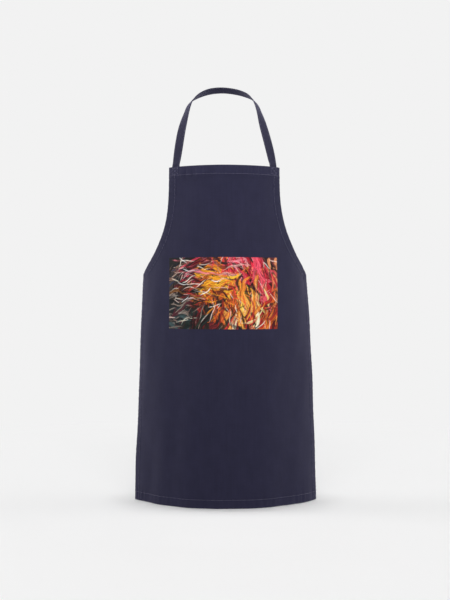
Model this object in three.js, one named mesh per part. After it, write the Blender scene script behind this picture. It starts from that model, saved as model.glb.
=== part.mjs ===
// A bib apron for painting, in millimetres, hanging from the wearer's neck.
// +X is the viewer's right when facing the apron's front, +Y runs through the wearer
// from front to back, +Z is up. The origin is where the neck strap rests on the nape.
import * as THREE from 'three';
import { mergeVertices } from 'three/addons/utils/BufferGeometryUtils.js';

// ---- The panel as it is cut, laid flat: s across from the centre line, t up from the hem.
const panelWidth = 548;
const panelLength = 800;
const bibWidth = 295;
const armholeFoot = 549;      // height of the corner where the armhole meets the side
const armholeUpperPull = 89;  // how far the armhole runs almost straight down from the bib
const armholeUpperLean = 2;
const armholeLowerPull = 133; // how far it runs level before it reaches the side
const armholeLowerRise = 68;

// ---- How the panel wraps the wearer: an arc of a circle at every height.
const radiusAtHem = 247;
const radiusFallPerMetre = 47;
const radiusFallSquared = 52;

// ---- Cloth and trimmings.
const panelThick = 0.6;
const hemThick = 1.0;
const webThick = 1.2;
const threadThick = 0.4;
const threadWide = 0.8;
const filmThick = 0.2;
const layerGap = 0.5;         // air between cloth layers
const pieceGap = 0.6;         // air between the ends of two turned hems

const topHemWidth = 20;
const bottomHemWidth = 20;
const sideHemWidth = 20;
const stitchFromFold = 1.6;   // the seam runs this far inside a hem's inner fold

const strapWidth = 22;
const strapInset = 12;        // from the bib's side edge to the strap's outer edge
const tackLength = 20;        // length of strap or tie that is sewn to the panel
const flexGap = 6;            // unsewn length over which a strap or tie bends
const tackMargin = 3;         // from a sewn end's edges to its box of stitches

const tieWidth = 22;
const tieLength = 490;
const tieHeight = 520;        // middle of a tie's sewn end, up from the hem

const printWidth = 276;
const printHeight = 168;
const printCentreS = -6;
const printCentreT = 503;

// ---- The neck strap's right half, from the bib's top edge to the nape:
// [x, y back from the panel's front, z up from the bib's top edge], and the direction
// from the strap's inner edge to its outer edge.
const strapRoute = [
  [106, 58, 51], [98, 84, 97], [87, 122, 147], [76.5, 160, 177], [58, 200, 199.5], [31, 227, 214],
];
const strapNape = [0, 235, 220];
const strapTurn = [
  [0.75, 0.64, -0.15], [0.72, 0.6, -0.34], [0.64, 0.55, -0.54], [0.54, 0.58, -0.61],
  [0.36, 0.74, -0.57], [0.17, 0.84, -0.52],
];
const strapNapeTurn = [0, 0.87, -0.5];
const strapStart = 14;        // height of the first bend above the loop's lower end

const columnWidth = 12;       // longest facet around the wearer
const rowHeight = 80;         // longest facet up the skirt
const armholeRows = 28;
const hemColumns = 3;         // facets across a hem that follows the armhole

const frontY = -strapNape[1];
const hemZ = -(panelLength + strapNape[2]);

// The plan circle's radius at height t, smaller towards the neck.
function bodyRadius(t) {
  const metres = t / 1000;
  return radiusAtHem - radiusFallPerMetre * metres - radiusFallSquared * metres * metres;
}

// A point of the flat panel, carried to its place on the wearer and moved out by d.
function wrap(s, t, d) {
  const radius = bodyRadius(t);
  const turn = s / radius;
  const x = (radius + d) * Math.sin(turn);
  const y = frontY + radius - (radius + d) * Math.cos(turn);
  return new THREE.Vector3(x, y, hemZ + t);
}

// The armhole's edge on the right half, from the bib's top corner down to the side.
const armhole = new THREE.CubicBezierCurve(
  new THREE.Vector2(bibWidth / 2, panelLength),
  new THREE.Vector2(bibWidth / 2 - armholeUpperLean, panelLength - armholeUpperPull),
  new THREE.Vector2(panelWidth / 2 - armholeLowerPull, armholeFoot + armholeLowerRise),
  new THREE.Vector2(panelWidth / 2, armholeFoot),
);

// Half of the panel's width at height t, found on the armhole by halving.
function halfWidth(t) {
  if (t <= armholeFoot) return panelWidth / 2;
  let low = 0;
  let high = 1;
  for (let step = 0; step < 40; step += 1) {
    const middle = (low + high) / 2;
    if (armhole.getPoint(middle).y > t) low = middle;
    else high = middle;
  }
  return armhole.getPoint(low).x;
}

// A closed box of unit size whose corners and cuts are moved by place(u, v, w).
function bent(columns, rows, place) {
  const box = new THREE.BoxGeometry(1, 1, 1, columns, rows, 1);
  const position = box.attributes.position;
  for (let i = 0; i < position.count; i += 1) {
    const u = position.getX(i) + 0.5;
    const v = position.getY(i) + 0.5;
    const w = position.getZ(i) + 0.5;
    const point = place(u, v, w);
    position.setXYZ(i, point.x, point.y, point.z);
  }
  matchDiagonals(box);
  return closed(box);
}

// A box's back face is cut along the other diagonals than its front face. Cut alike, the two
// stay a steady thickness apart where the box is twisted.
function matchDiagonals(box) {
  const index = box.index;
  const back = box.groups[5];
  for (let i = back.start; i < back.start + back.count; i += 6) {
    const c = index.getX(i + 4);
    index.setX(i + 2, c);
    index.setX(i + 3, index.getX(i));
  }
}

function closed(geometry) {
  geometry.deleteAttribute('normal');
  geometry.deleteAttribute('uv');
  const merged = mergeVertices(geometry, 1e-4);
  merged.computeVertexNormals();
  return merged;
}

const columnsFor = (length) => Math.max(1, Math.ceil(length / columnWidth));
const rowsFor = (length) => Math.max(1, Math.ceil(length / rowHeight));
const between = (a, b, share) => a + (b - a) * share;

// A layer over a rectangle of the flat panel, from offset dIn to dOut.
function patch(s0, s1, t0, t1, dIn, dOut) {
  return bent(columnsFor(s1 - s0), rowsFor(t1 - t0), (u, v, w) => (
    wrap(between(s0, s1, u), between(t0, t1, v), between(dIn, dOut, w))
  ));
}

// A layer along the armhole between two distances in from its edge; side is 1 or -1.
function armholeStrip(side, from, to, inset0, inset1, dIn, dOut) {
  const columns = inset1 - inset0 > columnWidth ? hemColumns : 1;
  return bent(columns, armholeRows, (u, v, w) => {
    const share = between(to, from, v);
    const edge = armhole.getPoint(share);
    const along = armhole.getTangent(share);
    const across = side > 0 ? between(inset1, inset0, u) : between(inset0, inset1, u);
    const s = edge.x + along.y * across;
    const t = edge.y - along.x * across;
    return wrap(side * s, t, between(dIn, dOut, w));
  });
}

// A box of stitches with a cross in it, one thread thick, on the panel's front.
function boxTack(s0, s1, t0, t1, dIn, dOut) {
  const wide = s1 - s0;
  const tall = t1 - t0;
  const steps = 8;
  const edged = (corners) => corners.flatMap((corner, i) => {
    const next = corners[(i + 1) % corners.length];
    return Array.from({ length: steps }, (_, k) => new THREE.Vector2(
      between(corner[0], next[0], k / steps), between(corner[1], next[1], k / steps),
    ));
  });
  const shape = new THREE.Shape(edged([[0, 0], [wide, 0], [wide, tall], [0, tall]]));
  const a = threadWide;
  const slant = Math.hypot(wide, tall) * threadWide / 2;
  const p = slant / tall;
  const q = slant / wide;
  const mx = wide / 2;
  const my = tall / 2;
  const holes = [
    [[a + p, a], [mx, my - q], [wide - a - p, a]],
    [[a + p, tall - a], [wide - a - p, tall - a], [mx, my + q]],
    [[a, a + q], [a, tall - a - q], [mx - p, my]],
    [[wide - a, a + q], [mx + p, my], [wide - a, tall - a - q]],
  ];
  shape.holes = holes.map((hole) => new THREE.Path(edged(hole)));
  const slab = new THREE.ExtrudeGeometry(shape, { depth: 1, bevelEnabled: false });
  const position = slab.attributes.position;
  for (let i = 0; i < position.count; i += 1) {
    const d = between(dIn, dOut, position.getZ(i));
    const point = wrap(s0 + position.getX(i), t0 + position.getY(i), d);
    position.setXYZ(i, point.x, point.y, point.z);
  }
  return closed(slab);
}

// ---- Materials.
function material(color, roughness) {
  return new THREE.MeshStandardMaterial({ color, roughness, metalness: 0 });
}
const twill = material(0x322f48, 0.85);
const webbing = material(0x3a3750, 0.8);
const thread = material(0x3d3a54, 0.6);
const film = material(0xc2603a, 0.5);

const apron = new THREE.Group();

function add(name, geometry, finish) {
  const mesh = new THREE.Mesh(geometry, finish);
  mesh.name = name;
  apron.add(mesh);
}

// ---- Offsets of the layers from the cloth's middle, outwards positive.
const faceOut = panelThick / 2;
const hemOut = -faceOut - layerGap;
const hemIn = hemOut - hemThick;
const sewnOut = hemIn - layerGap;
const sewnIn = sewnOut - webThick;
const frontIn = faceOut + layerGap;

// ---- The panel: level rows, each as wide as the cut is at that height.
const skirtRows = rowsFor(armholeFoot);
const bibRows = Array.from({ length: armholeRows }, (_, i) => (
  armhole.getPoint(1 - (i + 1) / armholeRows).y
));
const levels = [
  ...Array.from({ length: skirtRows + 1 }, (_, i) => armholeFoot * i / skirtRows),
  ...bibRows,
];
add('apron_panel', bent(columnsFor(panelWidth), levels.length - 1, (u, v, w) => {
  const t = levels[Math.round(v * (levels.length - 1))];
  return wrap((2 * u - 1) * halfWidth(t), t, between(-faceOut, faceOut, w));
}), twill);

// ---- Turned hems, behind the panel's edges.
const topHemFoot = panelLength - topHemWidth;
const topHemHalf = halfWidth(topHemFoot) - pieceGap;
add('top_hem', patch(-topHemHalf, topHemHalf, topHemFoot, panelLength, hemIn, hemOut), twill);
add('bottom_hem', patch(-panelWidth / 2, panelWidth / 2, 0, bottomHemWidth, hemIn, hemOut), twill);

// How far down the armhole a strip may start and stay under the top hem.
function shareBelow(height) {
  let share = 0;
  while (armhole.getPoint(share).y > height) share += 0.002;
  return share;
}
const armholeStart = shareBelow(topHemFoot - 3 * pieceGap);
const armholeEnd = 1;
const sideTop = armholeFoot - sideHemWidth - 2 * pieceGap;
const stitchInset = sideHemWidth - stitchFromFold;
const cornerClear = 3 * threadWide;

for (const [side, name] of [[-1, 'left'], [1, 'right']]) {
  const span = (inner, outer) => (side > 0 ? [inner, outer] : [-outer, -inner]);
  const edge = panelWidth / 2;

  add(`armhole_hem_${name}`, armholeStrip(
    side, armholeStart, armholeEnd, 0, sideHemWidth, hemIn, hemOut,
  ), twill);
  add(`side_hem_${name}`, patch(
    ...span(edge - sideHemWidth, edge), bottomHemWidth + pieceGap, sideTop, hemIn, hemOut,
  ), twill);

  add(`armhole_stitching_${name}`, armholeStrip(
    side, armholeStart, armholeEnd, stitchInset, stitchInset + threadWide,
    frontIn, frontIn + threadThick,
  ), thread);
  add(`side_stitching_${name}`, patch(
    ...span(edge - stitchInset - threadWide, edge - stitchInset),
    bottomHemWidth + cornerClear, sideTop - cornerClear, frontIn, frontIn + threadThick,
  ), thread);

  // The strap's sewn end, behind the top hem, and its box of stitches in front.
  const strapOuter = bibWidth / 2 - strapInset;
  const strapInner = strapOuter - strapWidth;
  const strapFoot = panelLength - tackLength;
  add(`neck_strap_end_${name}`, patch(
    ...span(strapInner, strapOuter), strapFoot, panelLength, sewnIn, sewnOut,
  ), webbing);
  const strapTackFoot = topHemFoot + stitchFromFold + threadWide + cornerClear;
  add(`neck_strap_tack_${name}`, boxTack(
    ...span(strapInner + tackMargin, strapOuter - tackMargin),
    strapTackFoot, panelLength - tackMargin, frontIn, frontIn + threadThick,
  ), thread);

  // The waist tie's sewn end, behind the side hem, and its box of stitches in front.
  add(`waist_tie_end_${name}`, patch(
    ...span(edge - tackLength, edge), tieHeight - tieWidth / 2, tieHeight + tieWidth / 2,
    sewnIn, sewnOut,
  ), webbing);
  add(`waist_tie_tack_${name}`, boxTack(
    ...span(edge - stitchInset + threadWide, edge - tackMargin),
    tieHeight - tieWidth / 2 + tackMargin, tieHeight + tieWidth / 2 - tackMargin,
    frontIn, frontIn + threadThick,
  ), thread);

  // The waist tie hangs straight down, just behind the side edge.
  const exit = wrap(side * edge, tieHeight, (sewnIn + sewnOut) / 2);
  const tie = new THREE.BoxGeometry(webThick, tieWidth, tieLength);
  tie.translate(
    exit.x, exit.y + flexGap + tieWidth / 2, exit.z + flexGap - tieLength / 2,
  );
  add(`waist_tie_${name}`, closed(tie), webbing);
}

add('top_hem_stitching', patch(
  -topHemHalf + cornerClear, topHemHalf - cornerClear,
  topHemFoot + stitchFromFold, topHemFoot + stitchFromFold + threadWide,
  frontIn, frontIn + threadThick,
), thread);
const bottomSeamHalf = panelWidth / 2 - threadWide;
const bottomSeam = bottomHemWidth - stitchFromFold;
add('bottom_hem_stitching', patch(
  -bottomSeamHalf, bottomSeamHalf, bottomSeam - threadWide, bottomSeam,
  frontIn, frontIn + threadThick,
), thread);

// ---- The printed panel, a film of ink and carrier bonded to the front.
add('printed_panel', patch(
  printCentreS - printWidth / 2, printCentreS + printWidth / 2,
  printCentreT - printHeight / 2, printCentreT + printHeight / 2,
  frontIn, frontIn + filmThick,
), film);

// ---- The free loop of the neck strap: a flat web that turns as it climbs, so that it lies
// against the chest at the bib and on the slope of the nape behind the neck.
const strapCentre = bibWidth / 2 - strapInset - strapWidth / 2;
const loopFoot = wrap(strapCentre, panelLength, (sewnIn + sewnOut) / 2);
const strapAngle = strapCentre / bodyRadius(panelLength);
const footTurn = [Math.cos(strapAngle), Math.sin(strapAngle), 0];
const rightPoints = [
  [loopFoot.x, loopFoot.y, loopFoot.z + flexGap],
  [loopFoot.x - 2, loopFoot.y + 3, loopFoot.z + flexGap + strapStart],
  ...strapRoute.map(([x, y, z]) => [x, y - strapNape[1], z - strapNape[2]]),
];
const rightTurns = [footTurn, footTurn, ...strapTurn];
const mirrored = (list) => list.map(([x, y, z]) => [-x, y, z]).reverse();
const vectors = (list) => list.map((p) => new THREE.Vector3(...p));
const route = new THREE.CatmullRomCurve3(vectors([
  ...rightPoints, [0, 0, 0], ...mirrored(rightPoints),
]), false, 'centripetal');
const turning = new THREE.CatmullRomCurve3(vectors([
  ...rightTurns, strapNapeTurn, ...mirrored(rightTurns),
]), false, 'catmullrom');
const spans = 2 * rightPoints.length;
const loopRows = 4 * spans;

// The web's cross-section is a rectangle in the plane of its turn and its normal; the outer
// edge points to +X on the right half and to -X on the left half.
add('neck_strap', bent(2, loopRows, (u, v, w) => {
  const share = Math.round(v * loopRows) / loopRows;
  const centre = route.getPoint(share);
  const tangent = route.getTangent(share);
  const outer = turning.getPoint(share);
  outer.addScaledVector(tangent, -outer.dot(tangent)).normalize();
  const normal = new THREE.Vector3().crossVectors(outer, tangent);
  return centre.clone()
    .addScaledVector(outer, (u - 0.5) * strapWidth)
    .addScaledVector(normal, (w - 0.5) * webThick);
}), webbing);

export default apron;
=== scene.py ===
import bpy
import numpy as np
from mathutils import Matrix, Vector


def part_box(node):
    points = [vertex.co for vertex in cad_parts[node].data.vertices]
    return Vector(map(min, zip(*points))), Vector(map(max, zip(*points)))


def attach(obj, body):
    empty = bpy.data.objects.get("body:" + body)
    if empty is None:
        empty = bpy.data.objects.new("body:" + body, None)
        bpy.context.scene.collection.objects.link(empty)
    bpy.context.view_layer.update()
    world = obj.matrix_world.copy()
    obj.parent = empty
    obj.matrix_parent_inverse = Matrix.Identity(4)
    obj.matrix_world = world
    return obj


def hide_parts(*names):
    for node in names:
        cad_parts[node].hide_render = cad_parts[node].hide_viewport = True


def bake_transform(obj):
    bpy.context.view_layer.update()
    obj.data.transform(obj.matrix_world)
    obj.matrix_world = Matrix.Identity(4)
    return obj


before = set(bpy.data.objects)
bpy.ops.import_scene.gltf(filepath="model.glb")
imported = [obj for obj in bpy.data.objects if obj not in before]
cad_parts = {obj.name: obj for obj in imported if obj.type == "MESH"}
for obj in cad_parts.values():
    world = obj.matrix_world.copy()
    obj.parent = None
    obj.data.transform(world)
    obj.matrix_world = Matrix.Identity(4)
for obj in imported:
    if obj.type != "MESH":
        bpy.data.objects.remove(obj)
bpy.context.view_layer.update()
print("frame loaded:", len(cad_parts), "CAD nodes")

mm = 0.001

# Where the panel is, taken from its CAD solid.
panelLow, panelHigh = (np.array(corner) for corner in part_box("apron_panel"))
hemZ = float(panelLow[2])
frontY = float(panelLow[1]) + 0.3 * mm      # the middle of the cloth, at the front
panelLength = float(panelHigh[2]) - hemZ + 2 * mm       # the top fold stands proud

# The panel as it is cut, laid flat: s runs across from the centre line, t up from the hem.
cut = {
    "width": 548 * mm,
    "bibWidth": 295 * mm,
    "armholeFoot": 551 * mm,        # height of the corner where the armhole meets the side
    "armholeUpperPull": 89 * mm,
    "armholeUpperLean": 2 * mm,
    "armholeLowerPull": 133 * mm,
    "armholeLowerRise": 68 * mm,
    "hem": 22 * mm,                 # width of every turned hem
    "seam": 20.2 * mm,              # from the edge to a hem's seam
    "trim": 0.2 * mm,               # a turned layer ends this far inside the fold
    # A side hem is mitred under the armhole's: from this far inside the edge, this far below
    # the corner, and up by the slope.
    "mitreWidth": 9.1 * mm, "mitreDrop": 18.8 * mm, "mitreSlope": 1.956,
}

# How it wraps the wearer: at every height an arc of a circle, smaller towards the neck.
wearer = {"radiusAtHem": 0.247, "fallPerMetre": 0.047, "fallSquared": 0.052}

# How the hanging cloth departs from that arc.
drape = {
    "foldHeight": 1.2 * mm,         # soft upright folds in the skirt
    "foldCount": 5.5,               # folds across the width
    "unevenness": 1.2 * mm,         # broad and slight, everywhere
    "hemLift": 0.9 * mm, "hemFall": 4 * mm,     # a hem's layers lift the face; it falls past them
    "topLift": 1.7 * mm, "topFall": 13 * mm,    # the same at the bib's top
    "pinch": 0.5 * mm,              # depth of the groove along a seam
    "foldDrop": 0.6 * mm,           # the face turns in by this at the fold
    "highest": 2.1 * mm,            # limit where hems meet
    "pucker": 0.8 * mm,             # ripples that a seam draws into its hem
    "puckerPitch": 13 * mm,
    "sway": 0.0045,                 # metres to the right per metre of drop
    "hemRise": 0.9 * mm,            # the middle of the bottom edge is drawn up this much
}

# Offsets of the layers from the middle of the cloth, outwards positive.
layer = {
    "panelHalf": 0.3 * mm,
    "hemMiddle": -0.95 * mm, "hemHalf": 0.6 * mm,
    "sewnMiddle": -2.3 * mm,        # tapes sewn behind a hem
    "filmMiddle": 0.37 * mm, "filmHalf": 0.07 * mm,
    "threadFront": 0.34 * mm, "threadHem": -1.6 * mm, "threadTape": -2.95 * mm,
}
halfCut = cut["width"] / 2


# Radius at height t: R(t) = radiusAtHem - fallPerMetre t - fallSquared t^2.
def wearerRadius(t):
    return wearer["radiusAtHem"] - wearer["fallPerMetre"] * t - wearer["fallSquared"] * t * t


armholePulls = np.array([
    [cut["bibWidth"] / 2, panelLength],
    [cut["bibWidth"] / 2 - cut["armholeUpperLean"], panelLength - cut["armholeUpperPull"]],
    [halfCut - cut["armholeLowerPull"], cut["armholeFoot"] + cut["armholeLowerRise"]],
    [halfCut, cut["armholeFoot"]],
])


# The right armhole is a cubic Bezier: (1-u)^3 a + 3(1-u)^2 u b + 3(1-u) u^2 c + u^3 d, with
# u = 0 at the bib's corner and 1 at the side.
def armholePoint(u):
    u = np.asarray(u)[..., None]
    a, b, c, d = armholePulls
    return (1 - u) ** 3 * a + 3 * (1 - u) ** 2 * u * b + 3 * (1 - u) * u * u * c + u ** 3 * d


armholeLine = armholePoint(np.linspace(0, 1, 400))


# Half the cut's width at height t: the armhole's s above its foot, and constant below.
def halfWidth(t):
    curved = np.interp(t, armholeLine[::-1, 1], armholeLine[::-1, 0])
    return np.where(t <= cut["armholeFoot"], halfCut, curved)


# Vectors brought to length 1.
def unit(vectors):
    return vectors / np.linalg.norm(vectors, axis=-1, keepdims=True)


# The armhole's point at u, moved inwards, square to the edge, by inset.
def besideArmhole(u, inset):
    edge = armholePoint(u)
    course = unit(armholePoint(np.clip(u + 1e-4, 0, 1)) - armholePoint(np.clip(u - 1e-4, 0, 1)))
    return np.stack([edge[..., 0] + course[..., 1] * inset,
                     edge[..., 1] - course[..., 0] * inset], -1)


# 0 below low, 1 above high, and 3x^2 - 2x^3 of the share between them.
def smooth(x, low, high):
    x = np.clip((x - low) / (high - low), 0, 1)
    return x * x * (3 - 2 * x)


# A sum of count sine waves of random direction and phase, with lengths near scale, about 1 high.
def waves(x, y, count, scale, seed):
    draw = np.random.default_rng(seed)
    total = np.zeros(np.broadcast(x, y).shape)
    for turn, stretch, phase in draw.uniform((0, 0.6, 0), (2 * np.pi, 1.6, 2 * np.pi), (count, 3)):
        run = x * np.cos(turn) + y * np.sin(turn)
        total += np.sin(2 * np.pi * run / (scale * stretch) + phase)
    return total / np.sqrt(count)


# Running length along a polyline of any dimension.
def runLength(line):
    return np.concatenate([[0], np.cumsum(np.linalg.norm(np.diff(line, axis=0), axis=1))])


# Rows of values, known at the lengths run, at other lengths: straight lines between them.
def valuesAt(where, run, values):
    return np.stack([np.interp(where, run, column) for column in values.T], -1)


# The cut's right edge from the bib's corner down to the hem, and its running length.
cutEdge = np.concatenate([armholeLine[::2],
                          [[halfCut, t] for t in np.linspace(cut["armholeFoot"], 0, 160)[1:]]])
cutEdgeRun = runLength(cutEdge)


# Distance from the flat point (|s|, t) to the nearest side or armhole edge, and the running
# length of the edge there: the smallest distance to the edge's short straight segments. It is
# only worked out near the edge, and is 80 mm beyond.
def edgeDistance(s, t):
    flat = np.stack([np.abs(s).ravel(), np.ravel(t)], -1)
    distance = np.full(len(flat), 80 * mm)
    run = np.zeros(len(flat))
    close = np.flatnonzero(halfWidth(flat[:, 1]) - flat[:, 0] < 75 * mm)
    start, step = cutEdge[:-1], np.diff(cutEdge, axis=0)
    for part in np.array_split(close, max(1, len(close) // 8000)):
        toPoint = flat[part, None] - start
        share = np.clip((toPoint * step).sum(-1) / (step * step).sum(-1), 0, 1)
        gap = np.linalg.norm(toPoint - share[..., None] * step, axis=-1)
        pick = gap.argmin(1)
        every = np.arange(len(part))
        distance[part] = gap[every, pick]
        run[part] = cutEdgeRun[pick] + share[every, pick] * np.diff(cutEdgeRun)[pick]
    return distance.reshape(np.shape(s)), run.reshape(np.shape(s))


# Height of the face over a turned hem, distance from its fold and run along it: raised by the
# layers under it and falling off past them, pinched at the seam, rounded at the fold, and
# rippled along it by five sine waves, evened out by 0.45, where the seam gathers the cloth.
def hemProfile(distance, run, seed, lift=drape["hemLift"], fall=drape["hemFall"]):
    pastSeam = cut["seam"] + 0.6 * mm
    lift = lift * (1 - smooth(distance, pastSeam, pastSeam + fall))
    pinch = drape["pinch"] * np.exp(-((distance - cut["seam"]) / (1.5 * mm)) ** 2)
    fold = drape["foldDrop"] * (1 - smooth(distance, 0, 1.6 * mm))
    draw = np.random.default_rng(seed)
    ripple = np.zeros(np.shape(distance))
    for stretch, phase in draw.uniform((0.55, 0), (1.9, 2 * np.pi), (5, 2)):
        ripple += np.sin(2 * np.pi * run / (drape["puckerPitch"] * stretch) + phase)
    reach = np.exp(-((distance - 0.7 * cut["seam"]) / (0.55 * cut["hem"])) ** 2)
    return lift - pinch - fold + drape["pucker"] * 0.45 * ripple * reach


# How far the face stands out from the plain arc at the flat point (s, t): folds that fade
# upwards, broad unevenness, and the hems.
def relief(s, t):
    s, t = np.broadcast_arrays(np.asarray(s, float), np.asarray(t, float))
    s = np.clip(s, -halfCut, halfCut)
    t = np.clip(t, 0, panelLength)
    across = s / cut["width"]
    bend = 0.35 * np.sin(2.1 * np.pi * across + 1.1) + 0.10 * np.sin(7 * t + 2)
    folds = np.sin(2 * np.pi * (drape["foldCount"] * across + bend) + 0.6)
    folds *= drape["foldHeight"] * (1 - smooth(t, 0.12, 0.62))
    folds *= 0.35 + 0.65 * smooth(np.abs(across), 0.02, 0.3)
    uneven = drape["unevenness"] * waves(s, 0.45 * t, 7, 0.19, 3)
    uneven += 0.6 * drape["unevenness"] * waves(s, 0.35 * t, 9, 0.075, 5)
    distance, run = edgeDistance(s, t)
    inside = smooth(distance, 2 * mm, 10 * mm)
    hems = hemProfile(distance, run + (s > 0) * 0.37, 11)
    hems += hemProfile(t, s, 12) * inside
    hems += hemProfile(panelLength - t, s, 13, drape["topLift"], drape["topFall"]) * inside
    return folds + uneven + np.clip(hems, -drape["foldDrop"], drape["highest"])


# The flat point (s, t), moved out by d, carried round the wearer:
# x = (R + d) sin(s / R), y = front + R - (R + d) cos(s / R), z = hem + t. The middle of the
# bottom is a little higher by (1 - (t / length))^6 (1 - (s / half width)^4).
def wrap(s, t, d):
    s, t, d = np.broadcast_arrays(np.asarray(s, float), np.asarray(t, float), np.asarray(d, float))
    radius = wearerRadius(t)
    turn = s / radius
    x = (radius + d) * np.sin(turn) + drape["sway"] * (cut["armholeFoot"] - t)
    y = frontY + radius - (radius + d) * np.cos(turn)
    rise = drape["hemRise"] * (1 - np.clip(t / panelLength, 0, 1)) ** 6
    rise *= 1 - np.clip(np.abs(s) / halfCut, 0, 1) ** 4
    return np.stack([x, y, hemZ + t + rise], -1)


# The same on the uneven cloth: d + relief(s, t) out from the arc.
def onCloth(s, t, d):
    return wrap(s, t, d + relief(s, t))


# A mesh of four-cornered faces: points (n, 3), faces (m, 4), uv (n, 2) in metres of cloth.
def makePiece(name, points, faces, uv=None):
    mesh = bpy.data.meshes.new(name)
    points = np.asarray(points, np.float32).reshape(-1, 3)
    faces = np.asarray(faces, np.int32)
    mesh.vertices.add(len(points))
    mesh.vertices.foreach_set("co", points.ravel())
    mesh.loops.add(faces.size)
    mesh.loops.foreach_set("vertex_index", faces.ravel())
    mesh.polygons.add(len(faces))
    mesh.polygons.foreach_set("loop_start", np.arange(0, faces.size, 4, dtype=np.int32))
    mesh.polygons.foreach_set("use_smooth", np.ones(len(faces), bool))
    mesh.update(calc_edges=True)
    if uv is not None:
        clothUv = mesh.uv_layers.new(name="clothUv")
        clothUv.data.foreach_set("uv", np.asarray(uv, np.float32)[faces.ravel()].ravel())
    piece = bpy.data.objects.new(name, mesh)
    bpy.context.scene.collection.objects.link(piece)
    return piece


# Gives every point of a piece a number, for its material to read.
def addValues(piece, name, values):
    piece.data.attributes.new(name, "FLOAT", "POINT").data.foreach_set(
        "value", values.astype(np.float32))


# Quads over a grid of vertex numbers, turning from columns to rows.
def gridFaces(index):
    return np.stack([index[:-1, :-1], index[:-1, 1:], index[1:, 1:], index[1:, :-1]],
                    -1).reshape(-1, 4)


# A thin closed sheet over the grids s and t: its faces are at middle + h and middle - h,
# and h falls from half to 0 on the grid's border, which both faces share. place(s, t, d)
# gives the points. mirrored is for a place that turns left hands into right.
def closedSheet(name, s, t, middle, half, place, mirrored=False):
    border = np.ones(s.shape, bool)
    border[1:-1, 1:-1] = False
    h = np.where(border, 0, half)
    front = place(s, t, middle + h)
    back = place(s, t, middle - h)
    frontIndex = np.arange(s.size).reshape(s.shape)
    backIndex = frontIndex.copy()
    backIndex[~border] = s.size + np.arange((~border).sum())
    points = np.concatenate([front.reshape(-1, 3), back[~border]])
    faces = np.concatenate([gridFaces(frontIndex), gridFaces(backIndex)[:, ::-1]])
    if mirrored:
        faces = faces[:, ::-1]
    flat = np.stack([s, t], -1)
    return makePiece(name, points, faces, np.concatenate([flat.reshape(-1, 2), flat[~border]]))


# Even values from low to high, at most step apart.
def spaced(low, high, step):
    return np.linspace(low, high, max(2, int(np.ceil((high - low) / step)) + 1))


# Ordered values with two extra ones close to each end, for a crisp rim.
def rimmed(values, rim):
    low, high = values[0], values[-1]
    inside = values[(values > low + 2.2 * rim) & (values < high - 2.2 * rim)]
    return np.concatenate([[low, low + 0.3 * rim, low + rim], inside,
                           [high - rim, high - 0.3 * rim, high]])


# Painted light and shade on the cloth: the hems are painted paler, a painted highlight on their
# raised layers, the bib's top hem most, with 1; the hollow under the top seam is painted darker, a
# painted shade.
paintedLightAndShade = {
    "lesserHems": 0.3,              # the painted highlight's share on the other hems
    "paintedHollowShade": 0.9,                  # painted shade taken off in the hollow under the top seam
    "shadeBelowSeam": 6 * mm,          # from the seam down to the hollow, and its breadth
    "edge": 1 * mm,                 # softness on either side of a seam
}


# How much painted light the cloth gets: a painted highlight of a hem's share on its side of the
# seam, fading across the seam, less a bell curve of painted shade in the hollow under the top
# seam.
def paintedLightShare(s, t):
    edge, seam = paintedLightAndShade["edge"], cut["seam"]
    side = paintedLightAndShade["lesserHems"] * (1 - smooth(edgeDistance(s, t)[0], seam - edge, seam + edge))
    foot = paintedLightAndShade["lesserHems"] * (1 - smooth(t, seam - edge, seam + edge))
    below = panelLength - t - seam
    paintedHollowShade = paintedLightAndShade["paintedHollowShade"] * np.exp(-((below - paintedLightAndShade["shadeBelowSeam"]) / paintedLightAndShade["shadeBelowSeam"]) ** 2)
    return np.maximum(side, foot) + 1 - smooth(below, -edge, edge) - paintedHollowShade


# Spacing of the panel's grid, finer in bands beside its edges.
grid = {"band": 26 * mm, "fine": 2.1 * mm, "coarse": 3.7 * mm, "rim": 0.35 * mm, "columns": 131}


# The panel: s = halfWidth(t) - inset in bands beside both edges, and equal shares of what is
# left between them.
def buildPanel():
    band, fine, rim = grid["band"], grid["fine"], grid["rim"]
    inset = rimmed(spaced(0, band, fine), rim)[:-2]
    rows = np.concatenate([spaced(0, band, fine),
                           spaced(band, panelLength - band, grid["coarse"]),
                           spaced(panelLength - band, panelLength, fine)])
    t = rimmed(np.unique(rows), rim)[:, None]
    half = halfWidth(t)
    s = np.concatenate([-half + inset, np.linspace(-1, 1, grid["columns"]) * (half - band),
                        (half - inset)[:, ::-1]], 1)
    t = t + 0 * s
    piece = closedSheet("apronPanel", s, t, 0, layer["panelHalf"], onCloth)
    # Painted highlight on the hems and painted shade under the top seam, kept for the material to
    # read.
    rub = paintedLightShare(s, t)
    addValues(piece, "rub", np.concatenate([rub.ravel(), rub[1:-1, 1:-1].ravel()]))
    return piece


# A hem strip from s0 to s1 and from t0 up to top, which may be a function of s, with few rows
# where it runs across and many up a side.
def buildHem(name, s0, s1, t0, top):
    rows, rim = (9, 0.02) if s1 - s0 > 0.1 else (180, 0.001)
    s = rimmed(spaced(s0, s1, 3 * mm), 0.5 * mm)
    s, share = np.meshgrid(s, rimmed(np.linspace(0, 1, rows), rim))
    end = top(s) if callable(top) else top
    return closedSheet(name, s, t0 + share * (end - t0), layer["hemMiddle"], layer["hemHalf"],
                       onCloth)


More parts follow.
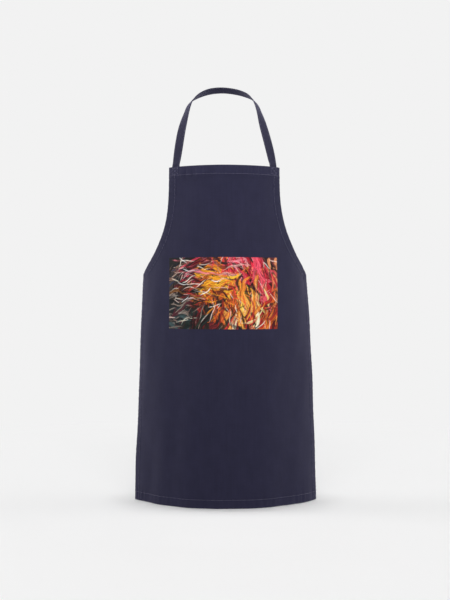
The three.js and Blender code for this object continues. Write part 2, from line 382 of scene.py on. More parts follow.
# The strip beside the armhole, from under the top hem down to the side's corner.
def buildArmholeHem(name, side):
    top = panelLength - cut["hem"] - 0.8 * mm
    start = float(np.interp(-top, -armholeLine[:, 1], np.linspace(0, 1, len(armholeLine))))
    u = rimmed(spaced(start, 0.999, 0.011), 0.0018)[::-1]
    inset = rimmed(spaced(cut["trim"], cut["hem"], 3 * mm), 0.5 * mm)[::-1]
    inset, u = np.meshgrid(inset, u)
    flat = besideArmhole(u, inset)
    s, t = side * flat[..., 0], flat[..., 1]
    return closedSheet(name, s, t, layer["hemMiddle"], layer["hemHalf"], onCloth, side < 0)


# Top of a side hem: level, then rising by the slope, because the armhole's hem over it ends
# square to its curve.
def sideHemTop(s):
    low = cut["armholeFoot"] - cut["mitreDrop"]
    return low + cut["mitreSlope"] * np.maximum(np.abs(s) - (halfCut - cut["mitreWidth"]), 0)


# Stitches: small rounded bars lying along a seam.
stitch = {"pitch": 3.2 * mm, "length": 2.6 * mm, "width": 0.75 * mm, "height": 0.38 * mm}


# Evenly pitched stitch centres along a polyline (n, 2), and the unit direction from just before
# each to just after it.
def alongLine(line, shift=0.0):
    line = np.asarray(line, float)
    run = runLength(line)
    count = max(1, int(run[-1] / stitch["pitch"]))
    at = (np.arange(count) + 0.5 + shift) * run[-1] / count
    at = at[at < run[-1]]
    ahead, behind = (valuesAt(at + step, run, line) for step in (0.4 * mm, -0.4 * mm))
    return valuesAt(at, run, line), unit(ahead - behind)


# A stitch is a half-sunk bar of five rings of six points, round in section and narrower at
# both ends: along it run 0, 1.05 and across it w cos, h sin. seams are (line, depth, face)
# with face 1 on the front and -1 on the back; every point goes through place(u, v, d).
def makeStitches(name, seams, place, mirrored=False):
    stations = np.array([-1, -0.72, 0, 0.72, 1])[:, None] * stitch["length"] / 2
    swell = np.array([0.35, 0.9, 1.05, 0.9, 0.35])[:, None]
    around = np.arange(6) * np.pi / 3
    across = swell * np.cos(around) * stitch["width"] / 2
    rise = swell * np.sin(around) * stitch["height"]
    points = []
    for line, depth, face in seams:
        centres, directions = alongLine(line, 0.0 if face > 0 else 0.5)
        centre, course = centres[:, :, None, None], directions[:, :, None, None]
        u = centre[:, 0] + course[:, 0] * stations - face * course[:, 1] * across
        v = centre[:, 1] + course[:, 1] * stations + face * course[:, 0] * across
        points.append(place(u, v, depth + face * rise + 0 * u).reshape(-1, 3))
    points = np.concatenate(points)
    ring = np.arange(30).reshape(5, 6)
    faces = np.concatenate([gridFaces(np.concatenate([ring, ring[:, :1]], 1)),
                            [[3, 2, 1, 0], [5, 4, 3, 0], [24, 25, 26, 27], [24, 27, 28, 29]]])
    count = len(points) // 30
    faces = (faces[None] + 30 * np.arange(count)[:, None, None]).reshape(-1, 4)
    if mirrored:
        faces = faces[:, ::-1]
    return makePiece(name, points, faces)


# A hem's seam, stitched through: the same line on the front and on the back of the hem.
def hemSeam(line):
    return [(line, layer["threadFront"], 1), (line, layer["threadHem"], -1)]


# A box of stitches with its two diagonals.
def boxSeams(s0, s1, t0, t1, back):
    corners = [(s0, t0), (s1, t0), (s1, t1), (s0, t1), (s0, t0)]
    lines = [corners[k:k + 2] for k in range(4)] + [[(s0, t0), (s1, t1)], [(s1, t0), (s0, t1)]]
    return [(line, depth, face) for line in lines
            for depth, face in ((layer["threadFront"], 1), (back, -1))]


# Tapes: folded strips of the same cloth.
tape = {
    "width": 22 * mm,
    "half": 0.6 * mm,
    "seamInset": 2.2 * mm,      # edge stitching
    "sewn": 20 * mm,            # length sewn to the panel
    "tackMargin": 3 * mm,       # from a box of stitches to the tape's edges
    "pinch": 0.2 * mm,          # depth of the groove along the edge stitching
    "fuller": 0.12 * mm,        # extra half thickness in the middle
}


# A sheet with a across and l along it, flat in the middle and pinched at the edge stitching:
# half thickness = half - pinch exp(-x^2) + fuller. The columns lie closer towards the edges.
def makeTape(name, lengths, place, mirrored=False):
    share = np.linspace(-1, 1, 15)
    share = 0.4 * np.sin(share * np.pi / 2) + 0.6 * share
    a = rimmed(share * tape["width"] / 2, 0.35 * mm)
    a, l = np.meshgrid(a, rimmed(lengths, 0.5 * mm))
    seam = tape["width"] / 2 - tape["seamInset"]
    pinch = tape["pinch"] * np.exp(-((np.abs(a) - seam) / (0.9 * mm)) ** 2)
    fuller = tape["fuller"] * smooth(seam - np.abs(a), 1 * mm, 4 * mm)
    half = tape["half"] - pinch + fuller
    return closedSheet(name, a, l, 0, half, place, mirrored)


# Two rows of edge stitching from l0 to l1, on both faces of a tape.
def tapeSeams(l0, l1):
    edge = tape["width"] / 2 - tape["seamInset"]
    lines = [[(a, l) for l in spaced(l0, l1, 10 * mm)] for a in (-edge, edge)]
    depth = tape["half"] - 0.12 * mm
    return [(line, face * depth, face) for line in lines for face in (1, -1)]


strap = {
    "inset": 10.5 * mm,         # from the bib's corner to the strap's outer edge
    "lean": -3.2 * mm,          # the loop's top hangs this far to the left
    "flutter": 0.8 * mm,        # small unevenness of the loop
    "bend": 22 * mm,            # length given for a leg's bend; it is passed along, and nothing here bends the leg
    # The right half's course in mm from the nape, and which way its outer edge points there.
    "course": [(107.2, -177, -169), (99, -151, -123), (88.6, -113, -73), (79.6, -75, -43),
               (62.5, -35, -20), (34.5, -8, -5)],
    "outerEdge": [(0.92, 0.38, -0.12), (0.91, 0.32, -0.28), (0.71, 0.49, -0.5),
                  (0.64, 0.56, -0.53), (0.4, 0.74, -0.54), (0.17, 0.84, -0.52)],
    "napeEdge": (0, 0.87, -0.5),
}
strapCentre = cut["bibWidth"] / 2 - strap["inset"] - tape["width"] / 2


# Values at places between given ones: a Catmull-Rom spline whose knots lie root distance
# apart (centripetal), through guide, carrying values along.
def throughPoints(guide, values, perSpan=24):
    def extended(p):
        return np.concatenate([[2 * p[0] - p[1]], p, [2 * p[-1] - p[-2]]])

    guide, values = extended(guide), extended(values)
    step = np.sqrt(np.linalg.norm(np.diff(guide, axis=0), axis=1))[:, None, None]
    count = len(guide) - 3
    gap = [step[k:k + count] for k in range(3)]
    knots = [0 * gap[0], gap[0], gap[0] + gap[1], gap[0] + gap[1] + gap[2]]
    at = knots[1] + np.linspace(0, 1, perSpan, endpoint=False)[None, :, None] * gap[1]

    def between(p, q, low, high):
        return ((high - at) * p + (at - low) * q) / (high - low)

    p = [values[k:k + count, None] for k in range(4)]
    first = [between(p[k], p[k + 1], knots[k], knots[k + 1]) for k in range(3)]
    second = [between(first[k], first[k + 1], knots[k], knots[k + 2]) for k in range(2)]
    course = between(second[0], second[1], knots[1], knots[2]).reshape(-1, values.shape[1])
    return np.concatenate([course, values[-2:-1]])


# The loop's course from foot to foot, its outer-edge direction, and its running length.
def strapCourse():
    angle = strapCentre / wearerRadius(panelLength)
    foot = wrap(strapCentre, panelLength, layer["sewnMiddle"])
    foot[0] -= drape["sway"] * (cut["armholeFoot"] - panelLength)
    right = [foot, foot + (0, 0, 6 * mm), foot + (-2 * mm, 3 * mm, 20 * mm)]
    right += [np.array(p) * mm for p in strap["course"]]
    square = (np.cos(angle), np.sin(angle), 0)
    edges = [square, square, (0.85, 0.52, -0.08)] + strap["outerEdge"]
    mirror = np.array([-1, 1, 1])
    points = np.array(right + [(0, 0, 0)] + [p * mirror for p in right[::-1]])
    edges = np.array(edges + [strap["napeEdge"]] + [np.array(e) * mirror for e in edges[::-1]])
    course, outer = throughPoints(points, points), throughPoints(points, edges)
    return course, outer, runLength(course)


strapLine, strapOuter, strapRun = strapCourse()
strapLength = float(strapRun[-1])
strapNormal = unit(np.cross(strapOuter, np.gradient(strapLine, axis=0)))
strapOuter = unit(np.cross(np.gradient(strapLine, axis=0), strapNormal))


# The strap's point a across, l along and n out. l is 0 and strapLength at the bib's top, and
# beyond them the strap lies sewn behind the bib: there the point is on the cloth. In between it
# is line + a outer + n normal, and the two meet smoothly over the first 14 mm.
def strapPlace(a, l, n):
    a, l, n = np.broadcast_arrays(a, l, n)
    middle, outer, normal = (valuesAt(l, strapRun, values)
                             for values in (strapLine, strapOuter, strapNormal))
    ripple = strap["flutter"] * np.sin(np.pi * l / strapLength) * waves(a, l, 5, 0.12, 21)
    free = middle + a[..., None] * outer + (n + ripple)[..., None] * normal
    height = free[..., 2] - hemZ
    free[..., 0] += drape["sway"] * (cut["armholeFoot"] - height)
    free[..., 0] += strap["lean"] * smooth(height, panelLength, panelLength + 0.11)
    side = np.where(l < strapLength / 2, 1, -1)
    above = np.minimum(l, strapLength - l)
    sewn = onCloth(side * (strapCentre + a), panelLength + above, layer["sewnMiddle"] + n)
    share = smooth(above, 0, 14 * mm)[..., None]
    return free * share + sewn * (1 - share)


tie = {
    "height": 520 * mm,         # up from the hem
    "hanging": 486 * mm,        # below its fold
    "foldAt": 17.2 * mm,        # from the panel's edge to the middle of the fold
    "foldRadius": 0.85 * mm,
    "standOff": 199.4 * mm,     # x of the unfolded stretch
    "twist": 0.5,               # radians at the lower end
    "sway": 2.4 * mm,
    # Points given for a bend, from this far behind the waist corner to this far, and this far
    # down; they are passed along, and nothing here bends the tie.
    "bendFrom": 4 * mm, "bendTo": 20 * mm, "bendDrop": 16 * mm,
}
tieFold = tape["sewn"] + tie["foldAt"]
tieLength = tieFold + tie["hanging"]


# A waist tie's point b across, a along from its sewn end and n out. It lies on the cloth as
# far as the panel's edge, runs straight back, and turns down over a diagonal fold: with
# q = (a - fold + b) / sqrt 2 across the fold and p = (a - fold - b) / sqrt 2 along it, what
# lies beyond q = 0 rolls over the fold's radius and comes back as -q on the inner side.
def tiePlace(side):
    def place(b, a, n):
        b, a, n = np.broadcast_arrays(b, a, n)
        sewn = onCloth(side * (halfCut - tape["sewn"] + a), tie["height"] + b,
                       layer["sewnMiddle"] + n)
        past = a - tieFold
        p, q = (past - b) / np.sqrt(2), (past + b) / np.sqrt(2)
        radius = tie["foldRadius"]
        roll = np.clip(q / radius, 0, np.pi)
        back = np.minimum(q, 0) + (radius + n) * np.sin(roll) - np.maximum(q - np.pi * radius, 0)
        x = tie["standOff"] - radius + (radius + n) * np.cos(roll)
        y = (p + back) / np.sqrt(2)
        z = (back - p) / np.sqrt(2)
        drop = np.maximum(past - 20 * mm, 0)
        turn = side * tie["twist"] * smooth(drop, 0, tie["hanging"]) * np.sin(4 * drop + 1.2)
        loose = smooth(drop, 0, 0.15)
        x = x + tie["sway"] * loose * np.sin(9 * drop + side) + y * np.sin(turn)
        y = y * np.cos(turn) + 0.8 * tie["sway"] * loose * np.sin(6.5 * drop + 2 * side)
        edge = wrap(side * halfCut, tie["height"], layer["sewnMiddle"])
        free = np.stack([side * x, edge[1] + tie["foldAt"] + y, hemZ + tie["height"] + z], -1)
        share = smooth(a, tape["sewn"], tape["sewn"] + 12 * mm)[..., None]
        return free * share + sewn * (1 - share)

    return place


# sRGB hex to linear: c / 12.92 below 0.04045, else ((c + 0.055) / 1.055) ^ 2.4.
def linear(hexColour):
    channels = np.array([int(hexColour[k:k + 2], 16) for k in (1, 3, 5)]) / 255
    channels = np.where(channels <= 0.04045, channels / 12.92, ((channels + 0.055) / 1.055) ** 2.4)
    return (*channels.tolist(), 1.0)


# A function that adds a node to a tree with its settings, and with its inputs set or linked by
# name, or by number as i0, i1.
def nodeAdder(tree):
    def add(kind, settings=None, **inputs):
        node = tree.nodes.new("ShaderNode" + kind)
        for key, value in (settings or {}).items():
            setattr(node, key, value)
        for key, value in inputs.items():
            place = int(key[1:]) if key[1:].isdigit() else key.replace("_", " ")
            if isinstance(value, bpy.types.NodeSocket):
                tree.links.new(value, node.inputs[place])
            else:
                node.inputs[place].default_value = value
        return node

    return add


# A new material with no nodes, and the function that adds them.
def newMaterial(name):
    material = bpy.data.materials.new(name)
    material.use_nodes = True
    material.node_tree.nodes.clear()
    return material, nodeAdder(material.node_tree)


# Sets a colour ramp's (place, linear colour) stops.
def setStops(node, stops):
    elements = node.color_ramp.elements
    for element, stop in zip(elements, (stops[0], stops[-1])):
        element.position, element.color = stop
    for place, colour in stops[1:-1]:
        elements.new(place).color = colour


bandSpacing = 0.314     # metres between a wave texture's bands at scale 1


panelLook = {
    "deep": "#222137", "pale": "#2a2941",
    "twillPitch": 1.5 * mm,     # real twill lines are about 0.9 mm apart: drawn coarser to show
    "twillTurn": 1.1,           # radians
    "slubWidth": 3.0 * mm, "slubLength": 110 * mm,
    "weftWidth": 1.8 * mm, "weftLength": 45 * mm,
    "roughness": 0.9, "sheen": 0.3, "sheenTint": "#a9a4c6",
    "rubbed": 0.13,             # how far the painted light and shade move the tone from deep to pale
}
# Darker tones than the panel's, though the tapes are the same cloth: painted shade on the strap
# and ties.
tapeLook = dict(panelLook, deep="#1f1e31", pale="#28273d", twillPitch=1.3 * mm,
                slubLength=60 * mm, weftLength=12 * mm)


# Polyester-cotton twill, piece-dyed and woven on the diagonal. The eye sees a matt cloth with
# faint upright slubs, fine diagonal lines close up, and a pale bloom of fibre ends where the
# surface turns away. The turned hems are painted a little paler, up to their seams, as a painted
# highlight, and the hollow under the top seam a little darker, as painted shade.
def makeTwill(name, look):
    material, add = newMaterial(name)
    uv = add("UVMap", {"uv_map": "clothUv"}).outputs["UV"]

    def streaks(width, length, detail):
        place = add("Mapping", Vector=uv, Scale=(1 / width, 1 / length, 1)).outputs[0]
        return add("TexNoise", {"noise_dimensions": "2D"}, Vector=place, Scale=1.0,
                   Detail=detail, Roughness=0.6).outputs["Fac"]

    slub = streaks(look["slubWidth"], look["slubLength"], 3.0)
    weft = streaks(look["weftLength"], look["weftWidth"], 2.0)
    mottle = streaks(26 * mm, 40 * mm, 4.0)
    turned = add("Mapping", Vector=uv, Rotation=(0, 0, look["twillTurn"])).outputs[0]
    twill = add("TexWave", {"wave_type": "BANDS", "bands_direction": "X"}, Vector=turned,
                Scale=bandSpacing / look["twillPitch"], Distortion=0.8, Detail=2.0,
                Detail_Scale=2.0).outputs["Fac"]
    # Painted highlight on the hems and painted shade under the top seam, moving the tone.
    rub = add("Attribute", {"attribute_name": "rub"}).outputs["Fac"]
    total = add("Math", {"operation": "MULTIPLY"}, i0=slub, i1=0.3).outputs[0]
    for part, share in ((weft, 0.2), (mottle, 0.4), (twill, 0.12), (rub, look["rubbed"])):
        total = add("Math", {"operation": "MULTIPLY_ADD"}, i0=part, i1=share, i2=total).outputs[0]
    tone = add("ValToRGB", Fac=total)
    setStops(tone, [(0.36, linear(look["deep"])), (0.78, linear(look["pale"]))])
    bump = add("Bump", Strength=0.4, Distance=0.25 * mm, Height=twill).outputs[0]
    bump = add("Bump", Strength=0.3, Distance=0.3 * mm, Height=slub, Normal=bump).outputs[0]
    shader = add("BsdfPrincipled", Base_Color=tone.outputs[0], Roughness=look["roughness"],
                 Specular_IOR_Level=0.25, Sheen_Weight=look["sheen"], Sheen_Roughness=0.45,
                 Sheen_Tint=linear(look["sheenTint"]), Normal=bump)
    add("OutputMaterial", Surface=shader.outputs[0])
    return material


# The thread's tones are a painted highlight, much paler than the cloth's.
threadLook = {"deep": "#3d3b55", "pale": "#5c5974", "ply": 0.55 * mm, "roughness": 0.6}


# Spun polyester sewing thread in the cloth's hue, painted paler than the cloth: a painted
# highlight for the light each stitch catches. It is a little glossier than the cloth, and its
# plies show as slanting bands.
def makeThread(look):
    material, add = newMaterial("spunPolyesterThread")
    place = add("TexCoord").outputs["Object"]
    plies = add("TexWave", {"wave_type": "BANDS", "bands_direction": "DIAGONAL"}, Vector=place,
                Scale=bandSpacing / look["ply"], Distortion=0.4).outputs["Fac"]
    tone = add("ValToRGB", Fac=plies)
    setStops(tone, [(0.0, linear(look["deep"])), (1.0, linear(look["pale"]))])
    bump = add("Bump", Strength=0.5, Distance=0.08 * mm, Height=plies).outputs[0]
    shader = add("BsdfPrincipled", Base_Color=tone.outputs[0], Roughness=look["roughness"],
                 Sheen_Weight=0.2, Normal=bump)
    add("OutputMaterial", Surface=shader.outputs[0])
    return material


# bristle is the size of the swirls in the paint, and darkest and palest what they do to it.
filmLook = {"roughness": 0.55, "specular": 0.15, "bristle": 2.4 * mm, "darkest": 0.85,
            "palest": 1.28}


# Heat-transfer film, printed and pressed on. It is thin and satin, the weave just shows
# through it, and its colours come from the picture worked out below.
def makeFilm(look):
    material, add = newMaterial("transferPrintFilm")
    uv = add("UVMap", {"uv_map": "clothUv"}).outputs["UV"]
    paint = add("Attribute", {"attribute_name": "paint"}).outputs["Color"]
    swirl = add("TexNoise", {"noise_dimensions": "2D"}, Vector=uv, Scale=1 / look["bristle"],
                Detail=3.0, Roughness=0.7, Distortion=1.5).outputs["Fac"]
    light = add("MapRange", Value=swirl, From_Min=0.3, From_Max=0.7, To_Min=look["darkest"],
                To_Max=look["palest"]).outputs[0]
    colour = add("VectorMath", {"operation": "SCALE"}, i0=paint, Scale=light).outputs[0]
    turned = add("Mapping", Vector=uv, Rotation=(0, 0, panelLook["twillTurn"])).outputs[0]
    weave = add("TexWave", {"wave_type": "BANDS", "bands_direction": "X"}, Vector=turned,
                Scale=bandSpacing / panelLook["twillPitch"], Distortion=0.8).outputs["Fac"]
    bump = add("Bump", Strength=0.25, Distance=0.15 * mm, Height=weave).outputs[0]
    shader = add("BsdfPrincipled", Base_Color=colour, Roughness=look["roughness"],
                 Specular_IOR_Level=look["specular"], Normal=bump)
    add("OutputMaterial", Surface=shader.outputs[0])
    return material


twill = makeTwill("polyesterCottonTwill", panelLook)
selfTape = makeTwill("foldedTwillTape", tapeLook)
thread = makeThread(threadLook)
film = makeFilm(filmLook)
print("materials made")


# The printed panel, laid flat, and the strokes of paint in its picture.
picture = {
    "width": 276 * mm, "height": 168 * mm,
    "centreS": -6 * mm, "centreT": 503 * mm,
    "step": 1.1 * mm,
    "seed": 12,
    "strokes": (150, 300, 420),     # broad, middling and fine
    "reach": (0.30, 0.21, 0.12),
    "breadth": (0.055, 0.019, 0.0052),
    # Each region's middle, across and up, how its strokes run, in radians, and its paints.
    "regions": [
        ((0.12, 0.80), 0.5, "#14161b #1d232a #3b302c #7a5a4c #22304c #15181e"),
        ((0.12, 0.22), 0.2, "#101216 #191d20 #223034 #35484a #8a7a70 #4a2028"),
        ((0.36, 0.84), 0.1, "#7a1a26 #b8344a #2a1c1e #c86a76 #1c1c1a #4a1a20"),
        ((0.38, 0.48), 0.1, "#4c1416 #a2302a #2a1814 #161614 #7a4c22 #141312"),
        ((0.56, 0.12), 1.2, "#141312 #1a2624 #5f191e #2a201c #1c2a22 #3c1416"),
        ((0.72, 0.62), 0.15, "#e08a1c #e9a42a #d4581f #efa028 #6a2a14 #c8641a"),
        ((0.82, 0.30), 1.5, "#b84a1c #d88424 #1a1812 #c05c1a #8a2016 #142018"),
        ((1.10, 0.42), 1.6, "#f49a30 #ee7e28 #cc3e2c #f6b640 #d85c28 #f8ca78"),
        ((1.12, 0.14), 1.4, "#f0d098 #e07c34 #b8302c #f4dfba #e69440 #8a2020"),
        ((1.02, 0.88), 2.2, "#de3a50 #ec6478 #ea8490 #c82438 #eaa8a0 #b81c32"),
        ((1.38, 0.66), 1.9, "#c02636 #d2485a #a0182a #dc5c3e #5c121c #d08458"),
        ((1.48, 0.25), 1.3, "#a0201a #c45418 #241014 #b02624 #d07a2c #581012"),
        ((1.60, 0.93), 2.4, "#2a1616 #5c3028 #8a4e3e #b85858 #322020 #a8343e"),
    ],
    "lights": "#efe4d8 #dcc7b4 #e0b0a6",
    "darks": "#0d0e11 #161316 #10181a",
}


# Colours of an abstract made of brush strokes: each is a bent, tapered bar
# |off - k along^2| < w sqrt(1 - (along / length)^2) with streaks of lighter and darker paint
# along it, laid over the strokes before it, broad ones first. A stroke takes a paint of the
# region whose middle it starts nearest, and roughly its direction. x and y run over the
# picture, y from 0 to 1, and are first shifted by slow waves, as if the paint had run.
def paintStrokes(x, y):
    draw = np.random.default_rng(picture["seed"])
    wide = picture["width"] / picture["height"]
    x = x + 0.016 * np.sin(9 * y + 2) + 0.007 * np.sin(31 * y + 11 * x)
    y = y + 0.018 * np.sin(8 * x + 1) + 0.008 * np.sin(27 * x - 9 * y)
    middles = np.array([region[0] for region in picture["regions"]])
    colour = np.full((len(x), 3), 0.012)
    for count, reach, breadth in zip(picture["strokes"], picture["reach"], picture["breadth"]):
        for k in range(count):
            cx, cy = draw.uniform(0, wide), draw.uniform(0, 1)
            away = np.linalg.norm(middles - (cx, cy) + draw.normal(0, 0.06, 2), axis=1)
            middle, angle, paints = picture["regions"][int(away.argmin())]
            pick = draw.uniform()
            if breadth < 0.02 and pick < 0.2:
                paints = picture["darks"]
            if breadth < 0.01 and pick > (0.42 if middle[0] < 0.4 else 0.8):
                paints = picture["lights"]
            paint = np.array(linear(str(draw.choice(paints.split())))[:3])
            angle = angle + draw.normal(0, 0.42)
            length = reach * draw.uniform(0.4, 1.1)
            width = breadth * draw.uniform(0.5, 1.5)
            dx, dy = x - cx, y - cy
            run = dx * np.cos(angle) + dy * np.sin(angle)
            off = dy * np.cos(angle) - dx * np.sin(angle) - draw.normal(0, 1.3) * run ** 2
            off += 0.3 * width * np.sin(run * draw.uniform(15, 45) + k)
            bristles = np.sin(off * draw.uniform(180, 380) + 2 * np.sin(run * 14 + k))
            bristles += 0.7 * np.sin(off * draw.uniform(60, 120) + k)
            edge = width * (1 + 0.2 * bristles) * np.sqrt(np.clip(1 - (run / length) ** 2, 0, 1))
            cover = (smooth(edge - np.abs(off), 0, 0.005) * draw.uniform(0.75, 1))[..., None]
            shade = np.clip(0.95 + 0.4 * bristles + draw.normal(0, 0.15), 0.2, 1.9)[..., None]
            colour = colour * (1 - cover) + np.clip(paint * shade, 0, 0.9) * cover
    return colour


# A flat grid on the cloth, coloured at each point by x = (s - left) / height and
# y = (t - bottom) / height.
def buildPrint():
    s = spaced(-picture["width"] / 2, picture["width"] / 2, picture["step"]) + picture["centreS"]
    t = spaced(-picture["height"] / 2, picture["height"] / 2, picture["step"]) + picture["centreT"]
    s, t = np.meshgrid(rimmed(s, 0.3 * mm), rimmed(t, 0.3 * mm))
    piece = closedSheet("printedPicture", s, t, layer["filmMiddle"], layer["filmHalf"], onCloth)
    flat = np.stack([s, t], -1)
    place = np.concatenate([flat.reshape(-1, 2), flat[1:-1, 1:-1].reshape(-1, 2)])
    x = (place[:, 0] - picture["centreS"] + picture["width"] / 2) / picture["height"]
    y = (place[:, 1] - picture["centreT"]) / picture["height"] + 0.5
    colours = np.concatenate([paintStrokes(x, y), np.ones((len(x), 1))], 1)
    paint = piece.data.attributes.new("paint", "FLOAT_COLOR", "POINT")
    paint.data.foreach_set("color", colours.astype(np.float32).ravel())
    return piece


# Gives a piece its material in a new slot, and hides the CAD nodes it stands for. It rides on one
# body; given bend points, it is only baked where it is built, and the bodies and points go unused.
def finishPiece(piece, material, bodies, nodes, bend=None):
    piece.data.materials.append(material)
    if bend:
        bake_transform(piece)
    else:
        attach(piece, bodies)
    if nodes:
        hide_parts(*nodes)
    return piece


panel = finishPiece(buildPanel(), twill, "apron", ["apron_panel"])


# A piece that rides with the panel and stands for one CAD node.
def addToPanel(piece, node, material=twill):
    finishPiece(piece, material, "apron", [node])


# Stitches that ride with the panel.
def addStitches(name, node, seams):
    addToPanel(makeStitches(name, seams, onCloth), node, thread)


topHalf = float(halfWidth(panelLength - cut["hem"] / 2)) - 0.5 * mm
trim = cut["trim"]
seamGap = 2 * mm        # between a seam's last stitch and what it runs up to
addToPanel(buildHem("topHem", -topHalf, topHalf, panelLength - cut["hem"], panelLength - trim),
           "top_hem")
addToPanel(buildHem("bottomHem", -halfCut + trim, halfCut - trim, trim, cut["hem"]), "bottom_hem")
for edge, end, height in (("top", topHalf - seamGap, panelLength - cut["seam"]),
                          ("bottom", halfCut - seamGap, cut["seam"])):
    addStitches(f"{edge}HemStitching", f"{edge}_hem_stitching",
                hemSeam([(-end, height), (end, height)]))
for side, word in ((-1, "left"), (1, "right")):
    title = word.title()
    addToPanel(buildArmholeHem(f"armholeHem{title}", side), f"armhole_hem_{word}")
    ends = sorted((side * (halfCut - cut["hem"]), side * (halfCut - trim)))
    addToPanel(buildHem(f"sideHem{title}", *ends, cut["hem"] + 2 * trim, sideHemTop),
               f"side_hem_{word}")
    armholeSeam = besideArmhole(np.linspace(0.06, 0.965, 160), cut["seam"]) * (side, 1)
    seamS = side * (halfCut - cut["seam"])
    sideSeam = [(seamS, cut["hem"] + seamGap), (seamS, cut["armholeFoot"] - 24 * mm)]
    for edge, line in (("armhole", armholeSeam), ("side", sideSeam)):
        addStitches(f"{edge}Stitching{title}", f"{edge}_stitching_{word}", hemSeam(line))
    margin = tape["tackMargin"]
    reach = tape["width"] / 2 - margin
    addStitches(f"strapTack{title}", f"neck_strap_tack_{word}", boxSeams(
        side * strapCentre - reach, side * strapCentre + reach,
        panelLength - cut["seam"] + margin, panelLength - margin, layer["threadTape"]))
    tieEnds = sorted((side * (halfCut - cut["seam"] + margin), side * (halfCut - margin)))
    addStitches(f"tieTack{title}", f"waist_tie_tack_{word}", boxSeams(
        *tieEnds, tie["height"] - reach, tie["height"] + reach, layer["threadTape"]))
addToPanel(buildPrint(), "printed_panel", film)
print("panel, hems, seams and print built")

bibTop = hemZ + panelLength
strapBend = ((0, 0, bibTop), (0, 0, bibTop + strap["bend"]))
strapLengths = np.concatenate([spaced(-tape["sewn"], 0, 2.5 * mm)[:-1],
                               spaced(0, strapLength, 3 * mm),
                               strapLength + spaced(0, tape["sewn"], 2.5 * mm)[1:]])
neckStrap = finishPiece(makeTape("neckStrap", strapLengths, strapPlace), selfTape,
                        ("apron", "neck_loop"),
                        ["neck_strap", "neck_strap_end_left", "neck_strap_end_right"], strapBend)
strapStitching = finishPiece(
    makeStitches("neckStrapStitching", tapeSeams(1 * mm, strapLength - 1 * mm), strapPlace),
    thread, ("apron", "neck_loop"), [], strapBend)
for side, word in ((-1, "left"), (1, "right")):
    title = word.title()
    place = tiePlace(side)
    pivot = wrap(side * halfCut, tie["height"], layer["sewnMiddle"])
    tieBend = ((0, pivot[1] + tie["bendFrom"], pivot[2]),
               (0, pivot[1] + tie["bendTo"], pivot[2] - tie["bendDrop"]))
    lengths = np.concatenate([spaced(0, 30 * mm, 2 * mm)[:-1], spaced(30 * mm, 62 * mm, 0.8 * mm),
                              spaced(62 * mm, tieLength, 3 * mm)[1:]])
    ribbon = finishPiece(makeTape(f"waistTie{title}", lengths, place, side > 0),
                         selfTape, ("apron", f"tie_{word}"),
                         [f"waist_tie_{word}", f"waist_tie_end_{word}"], tieBend)
    seams = tapeSeams(tape["sewn"] + seamGap, tieLength - tape["tackMargin"])
    end = tape["width"] / 2 - tape["seamInset"]
    seams += [([(-end, tieLength - 10 * mm), (end, tieLength - 10 * mm)],
               face * (tape["half"] + 0.02 * mm), face) for face in (1, -1)]
    stitching = finishPiece(makeStitches(f"waistTieStitching{title}", seams, place, side > 0),
                            thread, ("apron", f"tie_{word}"), [], tieBend)
print("strap and ties built")


# The floor, the room and the camera.
studio = {
    "cameraDistance": 2.5, "cameraHeight": 487.2 * mm, "lens": 64.5,
    "surround": 0.888,          # the grey of the room and the floor, linear
    "dim": 0.05,                # of the ceiling
    "below": 0.7,               # of what is below eye height
    "bandTop": 0.34,            # sine of the height to which the room is pale
    "floorPaint": 0.8,          # the floor's own grey, which light and shade show on
    "paintedTo": (1.0, 1.7),    # it fades out between these distances from the apron
    "floorGap": 2.5 * mm,       # from the hem down to the floor
    "horizon": (0.47, 0.475),   # the room turns pale between these shares of its height
}

# Soft boxes: place, what they face, width and height, power in watts. The one overhead is
# narrow from front to back, so that the shade under the hem stays narrow.
softBoxes = {
    "front": ((0, -1.15, -0.1), (0, -0.2, -0.2), (0.5, 0.4), 5.2),
    "leftSide": ((-2.2, 0.1, 0.3), (0, -0.2, -0.4), (0.8, 1.4), 13.5),
    "right": ((2.0, -0.5, -0.5), (0, -0.2, -0.5), (0.5, 0.8), 5.5),
    "rightSide": ((2.2, 0.1, 0.3), (0, -0.2, -0.4), (0.8, 1.4), 7.5),
    "behind": ((0, 2.6, 0.9), (0, 0, -0.4), (1.0, 1.0), 36),
    "overhead": ((0, -0.15, 2.6), (0, -0.15, -0.4), (0.8, 0.4), 60),
}


# An area lamp for each soft box, turned so that it faces its target.
def makeLights():
    for name, (place, target, size, power) in softBoxes.items():
        lamp = bpy.data.lights.new(name, "AREA")
        lamp.shape = "RECTANGLE"
        lamp.size, lamp.size_y = size
        lamp.energy = power
        lamp.use_shadow = name != "behind"      # it only opens up the dark inside
        item = bpy.data.objects.new(name, lamp)
        item.location = place
        aim = Vector(target) - Vector(place)
        item.rotation_euler = aim.to_track_quat("-Z", "Y").to_euler()
        item.visible_camera = False
        bpy.context.scene.collection.objects.link(item)


# All the light that the floor would get if nothing stood on it, over pi. A box of power P gives
# P cos(out) cos(in) / (pi r^2), and the room gives its brightness by sine squared of height.
def floorLight(points):
    total = np.zeros(len(points))
    for place, target, size, power in softBoxes.values():
        aim = np.subtract(target, place) / np.linalg.norm(np.subtract(target, place))
        across = np.cross(aim, (0, 1, 0) if abs(aim[2]) > 0.9 else (0, 0, 1))
        across /= np.linalg.norm(across)
        upright = np.cross(across, aim)
        for u in (-1 / 3, 0, 1 / 3):
            for v in (-1 / 3, 0, 1 / 3):
                spot = place + across * u * size[0] + upright * v * size[1]
                ray = points - spot
                far = np.linalg.norm(ray, axis=1)
                out = np.clip(ray @ aim / far, 0, 1)
                total += power / 9 / np.pi * out * np.clip(-ray[:, 2] / far, 0, 1) / far ** 2
    band = studio["bandTop"] ** 2
    room = studio["surround"] * band + studio["dim"] * (1 - band)
    return total / np.pi + room


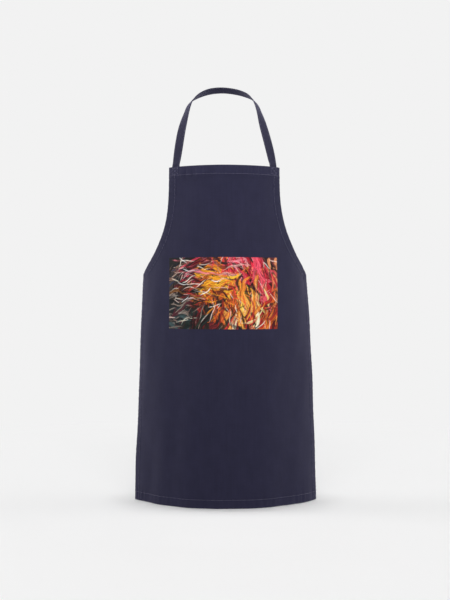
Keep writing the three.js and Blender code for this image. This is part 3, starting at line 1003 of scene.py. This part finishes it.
# A plain pale floor just under the hem. It glows by what it lacks of the room's brightness,
# so that it meets the room without a line, and only shade shows on it.
def makeFloor():
    outer = np.geomspace(3, 80, 24)[1:]         # metres, ever wider apart
    edge = np.concatenate([-outer[::-1], np.linspace(-3, 3, 121), outer])
    x, y = np.meshgrid(edge, edge)
    points = np.stack([x, y, np.full(x.shape, hemZ - studio["floorGap"])], -1).reshape(-1, 3)
    floor = makePiece("floor", points, gridFaces(np.arange(x.size).reshape(x.shape)))
    paint = 1 - smooth(np.hypot(points[:, 0], points[:, 1] + 0.1), *studio["paintedTo"])
    paint *= studio["floorPaint"]
    glow = np.clip(studio["surround"] - paint * floorLight(points), 0, 1)
    addValues(floor, "glow", glow)
    addValues(floor, "floorPaint", paint)
    material, add = newMaterial("paleFloor")
    lack = add("Attribute", {"attribute_name": "glow"}).outputs["Fac"]
    light = add("Emission", Color=(1, 1, 1, 1), Strength=lack)
    grey = add("Attribute", {"attribute_name": "floorPaint"}).outputs["Color"]
    matt = add("BsdfDiffuse", Color=grey)
    both = add("AddShader", i0=light.outputs[0], i1=matt.outputs[0])
    add("OutputMaterial", Surface=both.outputs[0])
    floor.data.materials.append(material)
    floor.visible_diffuse = False       # it lights nothing, so the skirt darkens downwards


# The room: pale all round at eye height, darker below and dim above. Its grey follows
# (z + 1) / 2, where z is the sine of the height that one looks up to.
def makeRoom():
    world = bpy.data.worlds.new("room")
    bpy.context.scene.world = world
    world.use_nodes = True
    tree = world.node_tree
    add = nodeAdder(tree)
    parts = add("SeparateXYZ", i0=add("TexCoord").outputs["Generated"])
    height = add("MapRange", Value=parts.outputs["Z"], From_Min=-1).outputs[0]
    shades = add("ValToRGB", Fac=height)
    below, level = studio["horizon"]
    top = (1 + studio["bandTop"]) / 2
    setStops(shades, [(place, (grey, grey, grey, 1)) for place, grey in (
        (below, studio["below"]), (level, studio["surround"]), (top, studio["surround"]),
        (top + 0.02, studio["dim"]))])
    tree.links.new(shades.outputs[0], tree.nodes["Background"].inputs[0])


makeLights()
makeFloor()
makeRoom()
bpy.context.scene.view_settings.view_transform = "Standard"

camera = bpy.data.cameras.new("camera")
camera.sensor_fit = "AUTO"
camera.sensor_width = 36
camera.lens = studio["lens"]
cameraObject = bpy.data.objects.new("camera", camera)
cameraObject.location = (0, frontY - studio["cameraDistance"], hemZ + studio["cameraHeight"])
cameraObject.rotation_euler = (np.pi / 2, 0, 0)
bpy.context.scene.collection.objects.link(cameraObject)
bpy.context.scene.camera = cameraObject
print("stage set")
